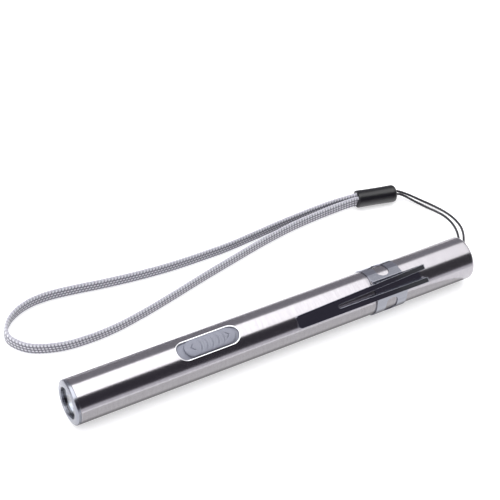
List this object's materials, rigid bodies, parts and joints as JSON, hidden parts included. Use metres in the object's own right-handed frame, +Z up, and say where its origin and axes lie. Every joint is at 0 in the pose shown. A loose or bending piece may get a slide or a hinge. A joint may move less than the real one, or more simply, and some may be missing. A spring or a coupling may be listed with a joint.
{
  "type": "penlight",
  "caption": "Slim steel LED penlight with a side slide switch, a sprung pocket clip on a turning band, a pull-off tail cap and a wrist lanyard.",
  "frame": {"origin": "centre of the tube's footprint on the surface it lies on", "axes": "+X along the tube from the head to the tail, +Z up; the switch faces up and 4 degrees towards -Y"},
  "size_m": [0.1555, 0.046, 0.0166],
  "materials": {
    "polished_steel": "polished stainless steel",
    "lens_clear": "clear polycarbonate lens",
    "seal_rubber": "black seal rubber",
    "reflector_silver": "vacuum-plated plastic",
    "led_phosphor": "phosphor under clear silicone",
    "board_white": "white mask on aluminium",
    "heat_sink_metal": "turned aluminium",
    "wire_jacket": "wire insulation",
    "brushed_tube": "brushed round the tube",
    "inner_plastic": "moulded black plastic",
    "board_green": "green solder mask",
    "chip_black": "moulded chip packages",
    "switch_can": "tinned steel can",
    "slider_plastic": "fine matt moulding",
    "cell_sleeve": "shrink sleeve",
    "nickel": "nickel strip",
    "flex_amber": "polyimide film",
    "collar_plastic": "moulded collar",
    "plug_shell": "nickel-plated steel",
    "plug_white": "white moulded insulator",
    "contact_gold": "gold-plated contact",
    "tail_plastic": "moulded grey-black plastic",
    "spring_steel": "bright nickel-plated spring steel",
    "cord_black": "tight nylon braid",
    "sleeve_black": "moulded black plastic",
    "strap_braid": "grey and white polyester braid"
  },
  "bodies": {
    "barrel": {"bezel": "polished_steel", "lens": "lens_clear", "lens_gasket": "seal_rubber", "reflector": "reflector_silver", "led_emitter": "led_phosphor", "led_board": "board_white", "heat_sink": "heat_sink_metal", "led_leads": "wire_jacket", "barrel_tube": "brushed_tube", "carrier_upper": "inner_plastic", "carrier_lower": "inner_plastic", "control_board": "board_green", "board_parts": "chip_black", "slide_switch_body": "switch_can", "battery_cell": "cell_sleeve", "battery_tabs": "nickel", "plug_ribbon": "flex_amber", "plug_collar": "collar_plastic", "neck_o_ring": "seal_rubber", "usb_shell": "plug_shell", "usb_insulator": "plug_white", "usb_contacts": "contact_gold"},
    "switch": {"switch_slider": "slider_plastic", "slide_switch_actuator": "inner_plastic"},
    "cap": {"cap_tube": "brushed_tube", "tail_plug": "tail_plastic", "lanyard_pin": "polished_steel", "lanyard_cord": "cord_black", "lanyard_sleeve": "sleeve_black", "lanyard_strap": "strap_braid"},
    "clip": {"clip_band": "spring_steel"},
    "tongue": {"clip_tongue": "spring_steel"}
  },
  "joints": [
    {"name": "switch_slide", "type": "slide", "parent": "barrel", "child": "switch", "axis": [-1, 0, 0], "range_m": [0, 0.0022]},
    {"name": "cap_pull", "type": "slide", "parent": "barrel", "child": "cap", "axis": [1, 0, 0], "range_m": [0, 0.026]},
    {"name": "clip_turn", "type": "hinge", "parent": "cap", "child": "clip", "pos_m": [0.037, 0, 0.007], "axis": [1, 0, 0], "continuous": true},
    {"name": "tongue_lift", "type": "hinge", "parent": "clip", "child": "tongue", "pos_m": [0.0496, -0.00411, 0.01413], "axis": [-0.0175, 0.8659, 0.4999], "range_deg": [0, 7], "stiffness_Nm_per_rad": 0.5}
  ]
}
